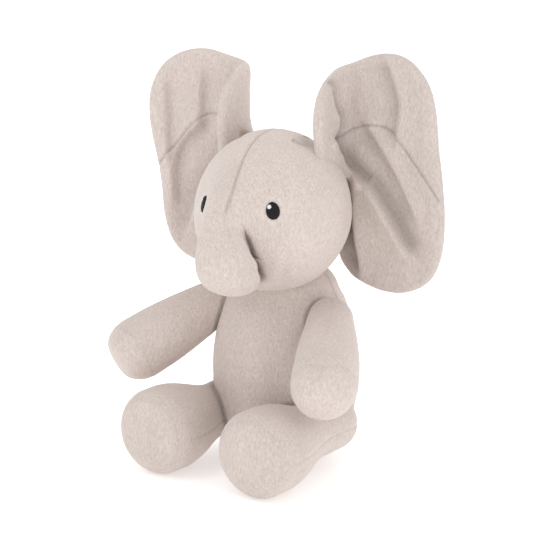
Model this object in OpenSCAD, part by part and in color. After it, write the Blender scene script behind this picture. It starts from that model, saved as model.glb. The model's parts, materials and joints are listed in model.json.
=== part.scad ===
/* [Body] */
// Largest radius of the pear-shaped body
body_r = 54.5; // [50:0.5:58]
// Height of the body's widest ring
body_belly_z = 66; // [60:1:72]
// Radius of the flat panel that the elephant sits on
seat_r = 28; // [24:1:30]
// Height of the neck joint's centre
neck_z = 128; // [126:1:132]
// Radius of the body's neck end
neck_r = 40; // [38:1:42]
// Thickness of the plush fabric
skin_t = 2; // [1.5:0.1:2.5]

/* [Head] */
// Half the head's width
head_rx = 56; // [54:0.5:58]
// Head radius seen from the side
head_r = 59; // [57:0.5:61]
// How far the head's centre sits in front of the body's axis
head_forward = 20; // [18:1:22]
// Height of the head's centre
head_z = 187.5; // [186:0.5:189]
// Angle that the head is turned to the elephant's left
head_turn = 9; // [0:1:12]
// Width of an embroidered eye
eye_w = 10.6; // [9:0.2:12]
// Height of an embroidered eye
eye_h = 12.6; // [11:0.2:14]

/* [Trunk] */
// Half the trunk's width at its fullest
trunk_half_w = 22; // [20:0.5:23]

/* [Ears] */
// Thickness of one stuffed ear
ear_t = 9; // [8:0.5:10]
// Distance from the head's middle to an ear's outer edge
ear_reach = 121; // [118:1:124]
// Radius of the bend that turns the ear's inner edge forward
ear_bend_r = 10; // [9:0.5:12]

/* [Arms] */
// Radius of an arm's rounded shoulder end
arm_root_r = 17; // [16:0.5:18]
// Radius of an arm's paw
arm_paw_r = 23.5; // [22:0.5:25]
// Length from the shoulder's centre to the paw's end
arm_len = 90; // [86:1:92]
// Angle of an arm outwards from straight ahead
arm_splay = 30; // [26:1:34]
// Angle of an arm below level
arm_drop = 25.5; // [22:0.5:28]

/* [Legs] */
// Radius of a leg at the hip
leg_root_r = 18; // [17:0.5:19]
// Radius of the upright foot
foot_r = 31.5; // [30:0.5:33]
// Length from the hip's centre to the sole
leg_len = 106; // [102:1:108]
// Distance from the middle to a leg's axis
leg_x = 45; // [44:0.5:47]

/* [Tail] */
// Length of the tail
tail_len = 42; // [34:1:46]
// Radius of the tail at its root
tail_r = 6; // [5:0.5:7]

/* [Hidden] */

// Colours of the plush, the stuffing, the pellets and the embroidery
plush = [0.80, 0.75, 0.72];
filling = [0.96, 0.96, 0.94];
pouch_cloth = [0.90, 0.88, 0.82];
pellet = [0.86, 0.90, 0.94];
thread_black = [0.05, 0.05, 0.06];
thread_white = [0.95, 0.95, 0.95];

// Gap left at a seam between two panels, and between a skin and what fills it
seam_gap = 0.3;
// Clearance between pieces that move against each other
joint_gap = 0.7;
$fn = 96;

// ---------------------------------------------------------------- profiles

// Direction of a polyline at point i
function heading(pts, i) =
    let (a = pts[max(i - 1, 0)], b = pts[min(i + 1, len(pts) - 1)])
    (b - a) / norm(b - a);

// The same polyline moved inwards by t, towards the axis it is turned about
function inset(pts, t) = [
    for (i = [0 : len(pts) - 1])
        let (d = heading(pts, i))
        [max(pts[i][0] - d[1] * t, 0), pts[i][1] + d[0] * t]
];

function reversed(list) = [for (i = [len(list) - 1 : -1 : 0]) list[i]];

// Outline of a skin of thickness t under a profile
function skin_outline(pts, t) = concat(pts, reversed(inset(pts, t)));

// Turns a profile of [radius, height] points through part of a circle
module turned(pts, from, to) {
    rotate([0, 0, from])
        rotate_extrude(angle = to - from)
            polygon(pts);
}

module mirrored_if(yes) {
    if (yes) {
        mirror([1, 0, 0])
            children();
    } else {
        children();
    }
}

// ---------------------------------------------------------------- sheets

function joined(rows) = [for (row = rows) for (p = row) p];

// Closed solid between two grids of points, one on each face of a sheet
module sheet_solid(front, back) {
    rows = len(front);
    cols = len(front[0]);
    count = rows * cols;
    // Two triangles on the square whose corners are points a, b, c and d
    function pair(a, b, c, d) = [[a, b, c], [a, c, d]];
    function at(i, j) = i * cols + j;
    faces = concat(
        [for (i = [0 : rows - 2]) for (j = [0 : cols - 2])
            each pair(at(i, j), at(i, j + 1), at(i + 1, j + 1), at(i + 1, j))],
        [for (i = [0 : rows - 2]) for (j = [0 : cols - 2])
            each pair(count + at(i, j), count + at(i + 1, j),
                      count + at(i + 1, j + 1), count + at(i, j + 1))],
        [for (i = [0 : rows - 2])
            each pair(at(i, 0), at(i + 1, 0), count + at(i + 1, 0), count + at(i, 0))],
        [for (i = [0 : rows - 2])
            each pair(at(i + 1, cols - 1), at(i, cols - 1),
                      count + at(i, cols - 1), count + at(i + 1, cols - 1))],
        [for (j = [0 : cols - 2])
            each pair(at(0, j + 1), at(0, j), count + at(0, j), count + at(0, j + 1))],
        [for (j = [0 : cols - 2])
            each pair(at(rows - 1, j), at(rows - 1, j + 1),
                      count + at(rows - 1, j + 1), count + at(rows - 1, j))]
    );
    polyhedron(points = concat(joined(front), joined(back)), faces = faces, convexity = 6);
}

// Closed solid through rings of points, with a flat face at each end
module ring_solid(rings) {
    rows = len(rings);
    cols = len(rings[0]);
    function at(i, j) = i * cols + j % cols;
    faces = concat(
        [for (i = [0 : rows - 2]) for (j = [0 : cols - 1])
            each [[at(i, j), at(i, j + 1), at(i + 1, j + 1)],
                  [at(i, j), at(i + 1, j + 1), at(i + 1, j)]]],
        [[for (j = [cols - 1 : -1 : 0]) at(0, j)]],
        [[for (j = [0 : cols - 1]) at(rows - 1, j)]]
    );
    polyhedron(points = joined(rings), faces = faces, convexity = 4);
}

// ---------------------------------------------------------------- body

neck_ball_r = 25;
neck_at = [0, 0, neck_z];
// How much wider than the neck's ball the body's top opening is
neck_lip_gap = 1.5;
neck_lip_r = neck_ball_r + neck_lip_gap;
neck_lip_z = neck_z - 1;
shoulder_z = 118;
body_steps = 9;
body_upper_steps = 5;
shoulder_steps = 3;

// Radius of the body at height z, a rounded seat below the belly and a pear's taper above it
function body_radius(z) =
    z < body_belly_z
        ? seat_r + (body_r - seat_r) * sqrt(1 - pow((body_belly_z - z) / body_belly_z, 2))
        : neck_r + (body_r - neck_r) * cos(90 * (z - body_belly_z) / (neck_z - body_belly_z + 2));

// Heights bunched towards the seat, where the profile turns fastest
body_profile = concat(
    [for (i = [0 : body_steps])
        let (z = body_belly_z * (1 - cos(90 * i / body_steps)))
        [body_radius(z), z]],
    [for (i = [1 : body_upper_steps])
        let (z = body_belly_z + (shoulder_z - body_belly_z) * i / body_upper_steps)
        [body_radius(z), z]],
    [for (i = [1 : shoulder_steps])
        let (a = 90 * i / shoulder_steps, r = body_radius(shoulder_z))
        [neck_lip_r + (r - neck_lip_r) * cos(a),
         shoulder_z + (neck_lip_z - shoulder_z) * sin(a)]]
);

shoulder_at = [51.5, -16, 112];
shoulder_pocket_r = 27;
hip_at = [leg_x, -5, foot_r];
leg_swing_down = 40;
leg_swing_up = 7;
leg_room_r = leg_root_r + 2;
leg_room_side = leg_room_r + 1;
leg_room_end = leg_room_side + 0.6;
leg_room_len = 64;
// Angle that the room for a leg goes past the ends of its swing
swing_spare = 1;
// Half the angle of the front panel, measured from straight ahead
front_half = 100;
side_seam = -90 + front_half;
back_seam = 90;
seam_turn = 0.3;
// Angle left round a limb's end where its end panel meets its sleeve
seam_turn_end = 3;

// Space that an arm's root needs in the body
module arm_room() {
    for (side = [0, 1])
        mirrored_if(side == 1)
            translate(shoulder_at)
                sphere(r = shoulder_pocket_r);
}

// Space that a leg sweeps as it swings about the hip: a fan between its two end positions
module leg_room() {
    for (side = [0, 1])
        mirrored_if(side == 1)
            translate(hip_at) {
                sphere(r = leg_room_end);
                for (angle = [-leg_swing_down - swing_spare, leg_swing_up + swing_spare])
                    rotate([90 - angle, 0, 0])
                        cylinder(r = leg_room_r, h = leg_room_len);
                rotate([0, 90, 0])
                    turned_fan(-90 - leg_swing_up - swing_spare, leg_swing_down - 90 + swing_spare);
            }
}

// Flat-sided sector as wide as a leg's room, between two angles
module turned_fan(from, to) {
    rotate([0, 0, from])
        rotate_extrude(angle = to - from)
            translate([0, -leg_room_side])
                square([leg_room_len - 1, 2 * leg_room_side]);
}

module body_panel(from, to) {
    color(plush)
        difference() {
            turned(skin_outline(body_profile, skin_t), from + seam_turn, to - seam_turn);
            arm_room();
            leg_room();
        }
}

module body_front() {
    body_panel(-90 - front_half, side_seam);
}

module body_back_left() {
    body_panel(side_seam, back_seam);
}

module body_back_right() {
    body_panel(back_seam, 180 - side_seam);
}

module body_base() {
    color(plush)
        cylinder(r = seat_r - 2 * seam_gap, h = skin_t);
}

pouch_r = 23;
pouch_h = 26;
pouch_t = 0.8;
pouch_steps = 6;
// Width of the pouch's flared foot and the height at which its dome starts
pouch_foot = 4;
pouch_dome_z = 5;
pouch_z = skin_t + seam_gap;
pellet_gap = 0.2;

// Side of the pellet pouch from its flat bottom to its domed top
pouch_profile = concat(
    [[0, pouch_z], [pouch_r - pouch_foot, pouch_z]],
    [for (i = [0 : pouch_steps])
        let (a = 90 * i / pouch_steps)
        [pouch_r * cos(a), pouch_z + pouch_dome_z + (pouch_h - pouch_dome_z) * sin(a)]]
);

// Core of the body, hollowed above the pouch and under the neck
body_core = let (
    inner = inset(body_profile, skin_t + seam_gap),
    side = [for (p = inner) if (p[1] > pouch_z && p[0] > neck_ball_r + joint_gap + 1) p],
    steps = 6,
    cup_r = neck_ball_r + joint_gap
) concat(
    [[pouch_r + seam_gap, pouch_z]],
    side,
    [for (i = [0 : steps])
        let (a = 10 + 80 * i / steps)
        [cup_r * cos(a), neck_z - cup_r * sin(a)]],
    [[0, pouch_z + pouch_h + seam_gap]],
    reversed([for (i = [0 : pouch_steps - 1])
        let (a = 90 * i / pouch_steps)
        [(pouch_r + seam_gap) * cos(a),
         pouch_z + pouch_dome_z + (pouch_h - pouch_dome_z + seam_gap) * sin(a)]])
);

module body_stuffing() {
    color(filling)
        difference() {
            turned(body_core, 0, 360);
            arm_room();
            leg_room();
        }
}

module pellet_pouch() {
    color(pouch_cloth)
        turned(skin_outline(pouch_profile, pouch_t), 0, 360);
}

module pellets() {
    inner = inset(pouch_profile, pouch_t + pellet_gap);
    color(pellet)
        turned(concat(inner, [[0, inner[0][1]]]), 0, 360);
}

module neck_stuffing() {
    color(filling)
        translate(neck_at)
            sphere(r = neck_ball_r);
}

// ---------------------------------------------------------------- head

head_at = [0, -head_forward, head_z];
head_steps = 12;
// Slope of the head's underside round the neck, which leaves room to nod
neck_relief = 0.26;
neck_relief_from = 12;
neck_relief_to = 90;
trunk_at = [0, -64, 180.5];
trunk_pocket_r = 27;
// Quarter of the head's outline from the middle plane (t = 0) to the side (t = 90)
function head_point(t) = [head_r * cos(t), head_rx * sin(t)];

side_profile = [
    for (i = [0 : head_steps])
        let (start = asin(seam_gap / 2 / head_rx))
        head_point(start + (90 - start) * i / head_steps)
];
head_profile = [for (i = [-head_steps : head_steps + 1]) head_point(90 * (i - 0.5) / (head_steps + 0.5))];

// Turns the head and all that is sewn to it about the neck
module on_neck() {
    rotate([0, 0, head_turn])
        children();
}

// Places shapes that are turned about Z on the head, with their axis across it
module on_head() {
    translate(head_at)
        rotate([0, 90, 0])
            children();
}

// What is taken off the head for the neck and the trunk
module head_cuts() {
    translate(neck_at) {
        sphere(r = neck_ball_r + joint_gap);
        rotate_extrude()
            polygon([
                [neck_relief_from, -neck_relief_to],
                [neck_relief_to, -neck_relief_to],
                [neck_relief_to, neck_relief_to * neck_relief + joint_gap],
                [neck_relief_from, neck_relief_from * neck_relief + joint_gap]
            ]);
    }
    translate(trunk_at)
        rotate([90, 0, 0])
            sphere(r = trunk_pocket_r);
}

module head_side(right) {
    color(plush)
        on_neck()
            difference() {
                on_head()
                    mirror([0, 0, right ? 1 : 0])
                        turned(skin_outline(side_profile, skin_t), 0, 360);
                head_cuts();
            }
}

module head_left() {
    head_side(false);
}

module head_right() {
    head_side(true);
}

module head_stuffing() {
    color(filling)
        on_neck()
            difference() {
                on_head()
                    turned(inset(head_profile, skin_t + seam_gap), 130, 490);
                head_cuts();
            }
}

// Centre of the left eye on the head's surface, and the direction that it faces
eye_x = 25.2;
eye_up = 11;
eye_back = -head_r * sqrt(1 - pow(eye_x / head_rx, 2) - pow(eye_up / head_r, 2));
eye_normal = [eye_x / pow(head_rx, 2), eye_back / pow(head_r, 2), eye_up / pow(head_r, 2)];
eye_t = 1.2;
eye_sides = 24;
glint_r = 1.8;
glint_t = 0.4;
glint_gap = 0.1;
glint_shift = [2.1, 2.8];

// Heights of the rings of a stitched oval, as a share of its thickness, and its taper
oval_layers = [0, 0.7, 1];
oval_taper = 0.12;

// Flat oval with a slightly narrower top
module stitched_oval(half_w, half_h, thickness) {
    ring_solid([
        for (layer = oval_layers)
            let (grow = 1 - oval_taper * pow(layer, 3))
            [for (j = [0 : eye_sides - 1])
                let (a = -360 * j / eye_sides)
                [half_w * grow * cos(a), half_h * grow * sin(a), thickness * layer]]
    ]);
}

// Stands shapes on the head at an eye, with their Z axis along the surface's normal
module at_eye(right, lift) {
    turn = atan2(eye_normal[1], eye_normal[0]);
    tilt = acos(eye_normal[2] / norm(eye_normal));
    mirrored_if(right)
        translate(head_at + [eye_x, eye_back, eye_up] + eye_normal / norm(eye_normal) * lift)
            rotate([0, 0, turn])
                rotate([0, tilt, 0])
                    rotate([0, 0, 90])
                        children();
}

module eye(right) {
    color(thread_black)
        on_neck()
            at_eye(right, seam_gap)
                stitched_oval(eye_w / 2, eye_h / 2, eye_t);
}

module eye_glint(right) {
    // The glint sits towards the elephant's right on both eyes
    side = right ? 1 : -1;
    color(thread_white)
        on_neck()
            at_eye(right, seam_gap + eye_t + glint_gap)
                translate([side * glint_shift[0], glint_shift[1], 0])
                    stitched_oval(glint_r, glint_r, glint_t);
}

module eye_left() {
    eye(false);
}

module eye_right() {
    eye(true);
}

module eye_glint_left() {
    eye_glint(false);
}

module eye_glint_right() {
    eye_glint(true);
}

// ---------------------------------------------------------------- trunk

// Stations down the trunk: how far forward, height, half its depth, share of its full width
trunk_path = [
    [-69, 180, 14.5, 0.66],
    [-76, 177.5, 17, 0.80],
    [-82, 172.5, 18, 0.88],
    [-86.5, 165.5, 18, 0.94],
    [-88, 157.5, 17.5, 0.98],
    [-86, 149.5, 16.5, 1],
    [-81, 143.5, 14, 0.92],
    [-75.5, 141, 10, 0.7],
    [-72, 141, 5, 0.4]
];
// Angle from the trunk's front line to its front seams, and half the gap left at a seam
trunk_seam = 50;
trunk_seam_turn = 0.6;
trunk_cols = 6;
trunk_sides = 20;
trunk_least_r = 1;

// Point on station i at an angle from the front line, moved inwards by t
function trunk_point(i, angle, t) =
    let (
        here = trunk_path[i],
        before = trunk_path[max(i - 1, 0)],
        after = trunk_path[min(i + 1, len(trunk_path) - 1)],
        step = [after[0] - before[0], after[1] - before[1]],
        along = step / norm(step),
        depth = max(here[2] - t, trunk_least_r),
        width = max(here[3] * trunk_half_w - t, trunk_least_r)
    )
    [width * sin(angle),
     here[0] + along[1] * depth * cos(angle),
     here[1] - along[0] * depth * cos(angle)];

function trunk_grid(from, to, t) = [
    for (i = [0 : len(trunk_path) - 1])
        [for (j = [0 : trunk_cols])
            trunk_point(i, from + (to - from) * j / trunk_cols, t)]
];

module trunk_panel(from, to) {
    color(plush)
        on_neck()
            sheet_solid(
                trunk_grid(from + trunk_seam_turn, to - trunk_seam_turn, 0),
                trunk_grid(from + trunk_seam_turn, to - trunk_seam_turn, skin_t)
            );
}

module trunk_top() {
    trunk_panel(-trunk_seam, trunk_seam);
}

module trunk_left() {
    trunk_panel(trunk_seam, 180 - trunk_seam);
}

module trunk_right() {
    trunk_panel(180 + trunk_seam, 360 - trunk_seam);
}

module trunk_under() {
    trunk_panel(180 - trunk_seam, 180 + trunk_seam);
}

module trunk_stuffing() {
    color(filling)
        on_neck()
            ring_solid([
                for (i = [0 : len(trunk_path) - 2])
                    [for (j = [0 : trunk_sides - 1])
                        trunk_point(i, 360 * j / trunk_sides, skin_t + 2 * seam_gap)]
            ]);
}

// ---------------------------------------------------------------- ears

// Where the ear's sheet starts to bend forward, and the depth of its middle there
ear_bend_x = 48;
ear_bend_y = 16;
ear_sweep = 6;
ear_span = ear_reach - ear_bend_x;
ear_flap = 50;
ear_rows = 4;
ear_edge = 2.5;
// Room under the root edge, so that the ear can fold towards the crown
ear_root_gap = 4.5;

// Distances across the sheet, from the edge that is turned forward to the outer edge
ear_columns = [
    -ear_flap, -45, -37, -28, -20, -15, -10, -5, 0, 7.5, 10, 14, 22, 31, 41, 50, 58, 65, 70, ear_span
];

// Height of the ear's top edge and of the seam across its front, at a distance across it
function ear_top(a) = lookup(a, [
    [-50, 258], [-45, 269], [-37, 277], [-20, 285], [0, 293], [12, 298], [24, 300],
    [38, 298], [49, 292], [60, 279], [66, 262], [70, 232], [73, 200]
]);
function ear_seam(a) = lookup(a, [
    [-50, 247], [0, 246], [13, 249], [23, 249], [31, 245], [48, 225], [62, 209], [73, 190]
]);

// Height of the head's top at a place seen from above
function head_height(x, y) =
    head_z + head_r * sqrt(max(0, 1 - pow(x / head_rx, 2) - pow((y + head_forward) / head_r, 2)));

// Height of the ear's bottom edge: on the head along the root, then round the hanging lobe
function ear_bottom(a) =
    a <= 0
        ? let (p = ear_place(a, 0, 0)) head_height(p[0] - ear_t / 2 - 1, p[1]) + ear_root_gap
        : lookup(a, [
            [7, 204], [7.5, 172], [10, 150], [14, 138], [22, 132], [31, 130],
            [41, 131], [50, 134], [58, 140], [65, 149], [70, 160], [73, 175]
        ]);

// Place of a point at a distance across the sheet, an offset towards its back and a height
function ear_place(a, n, z) =
    let (
        quarter = ear_bend_r * PI / 2,
        turn = min(-a / ear_bend_r * 180 / PI, 90),
        r = ear_bend_r + n,
        ahead = max(-a - quarter, 0)
    )
    a >= 0
        ? [ear_bend_x + a, ear_bend_y - ear_sweep * a / ear_span + n, z]
        : [ear_bend_x - r * sin(turn), ear_bend_y - ear_bend_r + r * cos(turn) - ahead, z];

// Grid of the sheet at one offset; part is 0 for all of it, 1 above the seam and -1 below
function ear_grid(n, part, edge) = [
    for (a = ear_columns)
        let (
            low = part > 0 ? ear_seam(a) + seam_gap : ear_bottom(a) + edge,
            high = part < 0 ? ear_seam(a) - seam_gap : ear_top(a) - edge
        )
        [for (k = [0 : ear_rows])
            ear_place(a, n, low + (high - low) * k / ear_rows)]
];

// One layer of an ear, between two offsets across its thickness
module ear_layer(right, from, to, part, edge, tint) {
    color(tint)
        on_neck()
            mirrored_if(right)
                sheet_solid(ear_grid(from, part, edge), ear_grid(to, part, edge));
}

module ear_front(right, part) {
    ear_layer(right, -ear_t / 2, skin_t - ear_t / 2, part, 0, plush);
}

module ear_back(right) {
    ear_layer(right, ear_t / 2 - skin_t, ear_t / 2, 0, 0, plush);
}

module ear_wadding(right) {
    half = ear_t / 2 - skin_t - seam_gap;
    ear_layer(right, -half, half, 0, ear_edge, filling);
}

module ear_left_front_upper() {
    ear_front(false, 1);
}

module ear_left_front_lower() {
    ear_front(false, -1);
}

module ear_left_back() {
    ear_back(false);
}

module ear_left_wadding() {
    ear_wadding(false);
}

module ear_right_front_upper() {
    ear_front(true, 1);
}

module ear_right_front_lower() {
    ear_front(true, -1);
}

module ear_right_back() {
    ear_back(true);
}

module ear_right_wadding() {
    ear_wadding(true);
}

// ---------------------------------------------------------------- arms

arm_steps = 5;
arm_paw_start = 66;
arm_paw_s = arm_len - arm_paw_r;
paw_turn = asin((arm_paw_start - arm_paw_s) / arm_paw_r);

// Hemisphere from a pole behind its centre to its rim
function root_dome(r) = [
    for (i = [0 : arm_steps])
        let (a = 90 * i / arm_steps)
        [r * sin(a), -r * cos(a)]
];

// Part of the paw's rounded end, between two angles from its rim to its tip
function paw_dome(from, to) = [
    for (i = [0 : arm_steps])
        let (a = from + (to - from) * i / arm_steps)
        [arm_paw_r * cos(a), arm_paw_s + arm_paw_r * sin(a)]
];

arm_sleeve_profile = concat(
    root_dome(arm_root_r),
    [for (i = [1 : arm_steps])
        let (s = arm_paw_s * i / arm_steps)
        [arm_root_r + (arm_paw_r - arm_root_r) * sin(90 * s / arm_paw_s), s]],
    [paw_dome(0, paw_turn)[arm_steps]]
);
arm_paw_profile = paw_dome(paw_turn + seam_turn_end, 90);
arm_profile = concat(
    [for (p = arm_sleeve_profile) if (p[1] < arm_paw_s - 1) p],
    paw_dome(0, 90)
);

// Stands shapes turned about Z on a shoulder, with Z running down the arm
module on_arm(right) {
    mirrored_if(right)
        translate(shoulder_at)
            rotate([0, 0, arm_splay])
                rotate([90 + arm_drop, 0, 0])
                    children();
}

module arm_sleeve(right, from, to) {
    color(plush)
        on_arm(right)
            turned(skin_outline(arm_sleeve_profile, skin_t), from + seam_turn, to - seam_turn);
}

module arm_paw(right) {
    color(plush)
        on_arm(right)
            turned(skin_outline(arm_paw_profile, skin_t), 0, 360);
}

module arm_stuffing(right) {
    color(filling)
        on_arm(right)
            turned(inset(arm_profile, skin_t + seam_gap), 0, 360);
}

module arm_left_outer() {
    arm_sleeve(false, -90, 90);
}

module arm_left_inner() {
    arm_sleeve(false, 90, 270);
}

module arm_left_paw() {
    arm_paw(false);
}

module arm_left_stuffing() {
    arm_stuffing(false);
}

module arm_right_outer() {
    arm_sleeve(true, -90, 90);
}

module arm_right_inner() {
    arm_sleeve(true, 90, 270);
}

module arm_right_paw() {
    arm_paw(true);
}

module arm_right_stuffing() {
    arm_stuffing(true);
}

// ---------------------------------------------------------------- legs

leg_steps = 5;
leg_flare_from = 38;
leg_flare_to = 84;
foot_round = 13;
sole_turn = 50;
sole_bulge = 1.5;

// Radius along the leg, which flares into the foot
function leg_radius(s) =
    let (t = min(max((s - leg_flare_from) / (leg_flare_to - leg_flare_from), 0), 1))
    leg_root_r + (foot_r - leg_root_r) * (1 - cos(180 * t)) / 2;

// Rounded rim of the foot between two angles
function foot_rim(from, to) = [
    for (i = [0 : leg_steps])
        let (a = from + (to - from) * i / leg_steps)
        [foot_r - foot_round + foot_round * cos(a),
         leg_len - sole_bulge - foot_round + foot_round * sin(a)]
];

leg_tube = concat(
    root_dome(leg_root_r),
    [for (s = [leg_flare_from : (leg_flare_to - leg_flare_from) / leg_steps : leg_flare_to])
        [leg_radius(s), s]]
);
leg_sleeve_profile = concat(leg_tube, foot_rim(0, sole_turn));
leg_sole_profile = concat(foot_rim(sole_turn + seam_turn_end, 90), [[0, leg_len]]);
leg_profile = concat(leg_tube, foot_rim(0, 90), [[0, leg_len]]);

// Stands shapes turned about Z on a hip, with Z running forward down the leg
module on_leg(right) {
    mirrored_if(right)
        translate(hip_at)
            rotate([90, 0, 0])
                children();
}

module leg_sleeve(right, from, to) {
    color(plush)
        on_leg(right)
            turned(skin_outline(leg_sleeve_profile, skin_t), from + seam_turn, to - seam_turn);
}

module leg_sole(right) {
    color(plush)
        on_leg(right)
            turned(skin_outline(leg_sole_profile, skin_t), 0, 360);
}

module leg_stuffing(right) {
    color(filling)
        on_leg(right)
            turned(inset(leg_profile, skin_t + seam_gap), 0, 360);
}

module leg_left_upper() {
    leg_sleeve(false, 0, 180);
}

module leg_left_lower() {
    leg_sleeve(false, 180, 360);
}

module leg_left_sole() {
    leg_sole(false);
}

module leg_left_stuffing() {
    leg_stuffing(false);
}

module leg_right_upper() {
    leg_sleeve(true, 0, 180);
}

module leg_right_lower() {
    leg_sleeve(true, 180, 360);
}

module leg_right_sole() {
    leg_sole(true);
}

module leg_right_stuffing() {
    leg_stuffing(true);
}

// ---------------------------------------------------------------- tail

tail_z = 42;
tail_at = [0, body_radius(tail_z) + tail_r + joint_gap, tail_z];
tail_lean = 30;
tail_tip_r = 4;
tail_skin_t = 1.6;
tail_s = tail_len - tail_tip_r;
tail_steps = 4;
tail_profile = concat(
    root_dome(tail_r),
    [for (i = [0 : tail_steps])
        let (a = 90 * i / tail_steps)
        [tail_tip_r * cos(a), tail_s + tail_tip_r * sin(a)]]
);

// Stands shapes turned about Z at the tail's root, with Z running down the tail
module on_tail() {
    translate(tail_at)
        rotate([180 + tail_lean, 0, 0])
            children();
}

module tail_skin() {
    color(plush)
        on_tail()
            turned(skin_outline(tail_profile, tail_skin_t), 0, 360);
}

module tail_stuffing() {
    color(filling)
        on_tail()
            turned(inset(tail_profile, tail_skin_t + seam_gap), 0, 360);
}

// ---------------------------------------------------------------- parts

body_front();
body_back_left();
body_back_right();
body_base();
body_stuffing();
pellet_pouch();
pellets();
neck_stuffing();
head_left();
head_right();
head_stuffing();
eye_left();
eye_right();
eye_glint_left();
eye_glint_right();
trunk_top();
trunk_left();
trunk_right();
trunk_under();
trunk_stuffing();
ear_left_front_upper();
ear_left_front_lower();
ear_left_back();
ear_left_wadding();
ear_right_front_upper();
ear_right_front_lower();
ear_right_back();
ear_right_wadding();
arm_left_outer();
arm_left_inner();
arm_left_paw();
arm_left_stuffing();
arm_right_outer();
arm_right_inner();
arm_right_paw();
arm_right_stuffing();
leg_left_upper();
leg_left_lower();
leg_left_sole();
leg_left_stuffing();
leg_right_upper();
leg_right_lower();
leg_right_sole();
leg_right_stuffing();
tail_skin();
tail_stuffing();
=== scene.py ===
import json
import math
from functools import partial

import bpy
import numpy as np
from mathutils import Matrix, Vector


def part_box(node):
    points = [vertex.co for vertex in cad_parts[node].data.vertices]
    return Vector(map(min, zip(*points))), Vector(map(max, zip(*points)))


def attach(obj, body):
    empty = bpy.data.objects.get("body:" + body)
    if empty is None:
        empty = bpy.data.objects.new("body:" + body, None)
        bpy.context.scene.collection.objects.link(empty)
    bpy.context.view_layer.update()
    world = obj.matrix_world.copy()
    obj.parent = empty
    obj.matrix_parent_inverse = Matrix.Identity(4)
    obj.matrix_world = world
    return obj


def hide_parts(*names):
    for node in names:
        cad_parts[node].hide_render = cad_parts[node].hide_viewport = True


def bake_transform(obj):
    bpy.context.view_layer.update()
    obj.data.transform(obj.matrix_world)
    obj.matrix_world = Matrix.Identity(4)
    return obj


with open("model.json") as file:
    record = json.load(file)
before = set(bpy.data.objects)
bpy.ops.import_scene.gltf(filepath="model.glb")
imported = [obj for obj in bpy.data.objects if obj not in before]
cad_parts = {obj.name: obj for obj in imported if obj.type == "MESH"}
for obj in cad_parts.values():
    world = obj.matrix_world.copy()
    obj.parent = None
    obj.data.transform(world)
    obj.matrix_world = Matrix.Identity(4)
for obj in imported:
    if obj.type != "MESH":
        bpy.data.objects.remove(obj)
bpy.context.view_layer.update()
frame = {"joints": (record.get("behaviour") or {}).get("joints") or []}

# All shaping below is done in millimetres of the shared frame; make_object() turns it into metres.
MM = 0.001
JOINT = {j["name"]: j for j in frame["joints"]}
# Far more than any distance on the toy
FAR = 1e9
# Points between two given points of a curve
SPLINE_STEPS = 24


def joint_at(name):
    """Where a joint's pivot is, in mm."""
    return np.array(JOINT[name]["pos_m"], float) / MM


def box(*names):
    """Lowest and highest corner of some CAD nodes together, in mm."""
    corners = [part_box(n) for n in names]
    lo = np.min([np.array(c[0], float) for c in corners], axis=0)
    hi = np.max([np.array(c[1], float) for c in corners], axis=0)
    return lo / MM, hi / MM


# ---------------------------------------------------------------- grids, normals, noise

def pillow_grid(n, m):
    """A closed quad grid shaped like a box of n x n x m cells.
    Returns for each vertex its place from the first pole (0) to the second (1), its turn in
    radians, and the quads."""
    keys, quads = {}, []

    def vertex(i, j, k):
        return keys.setdefault((i, j, k), len(keys))

    for i in range(n):
        for j in range(n):
            quads.append([vertex(i, j, 0), vertex(i, j + 1, 0), vertex(i + 1, j + 1, 0), vertex(i + 1, j, 0)])
            quads.append([vertex(i, j, m), vertex(i + 1, j, m), vertex(i + 1, j + 1, m), vertex(i, j + 1, m)])
    rim = [(i, 0) for i in range(n)] + [(n, j) for j in range(n)]
    rim += [(n - i, n) for i in range(n)] + [(0, n - j) for j in range(n)]
    for k in range(m):
        for p, (i, j) in enumerate(rim):
            i2, j2 = rim[(p + 1) % len(rim)]
            quads.append([vertex(i, j, k), vertex(i2, j2, k), vertex(i2, j2, k + 1), vertex(i, j, k + 1)])
    at = np.array(list(keys), float)
    u, v = 2 * at[:, 0] / n - 1, 2 * at[:, 1] / n - 1
    rho = np.maximum(abs(u), abs(v))
    wide = abs(u) >= abs(v)
    safe_u = np.where(abs(u) < 1e-9, 1, u)
    safe_v = np.where(abs(v) < 1e-9, 1, v)
    turn = np.where(wide, math.pi / 4 * v / safe_u + np.where(u < 0, math.pi, 0),
                    math.pi / 2 - math.pi / 4 * u / safe_v + np.where(v < 0, math.pi, 0))
    cap = rho * n / 2
    place = np.where(at[:, 2] == 0, cap, np.where(at[:, 2] == m, n + m - cap, n / 2 + at[:, 2]))
    return place / (n + m), turn, np.array(quads)


def normals(p, quads):
    """The direction each vertex faces."""
    across = np.cross(p[quads[:, 2]] - p[quads[:, 0]], p[quads[:, 3]] - p[quads[:, 1]])
    total = np.zeros_like(p)
    for k in range(4):
        for axis in range(3):
            total[:, axis] += np.bincount(quads[:, k], across[:, axis], len(p))
    return total / np.maximum(np.linalg.norm(total, axis=1, keepdims=True), 1e-12)


def outward(p, quads):
    """The quads, turned over if they face inwards."""
    if (normals(p, quads) * (p - p.mean(axis=0))).sum() < 0:
        return quads[:, ::-1]
    return quads


def relax(p, quads, rounds):
    """Moves each vertex half of the way to the mean of its neighbours, some rounds over."""
    a = np.concatenate([quads[:, 0], quads[:, 1], quads[:, 2], quads[:, 3]])
    b = np.concatenate([quads[:, 1], quads[:, 2], quads[:, 3], quads[:, 0]])
    a, b = np.concatenate([a, b]), np.concatenate([b, a])
    degree = np.bincount(a, minlength=len(p))[:, None]
    for _ in range(rounds):
        mean = np.stack([np.bincount(a, p[b, axis], len(p)) for axis in range(3)], axis=1) / degree
        p = p + (mean - p) * 0.5
    return p


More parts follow.
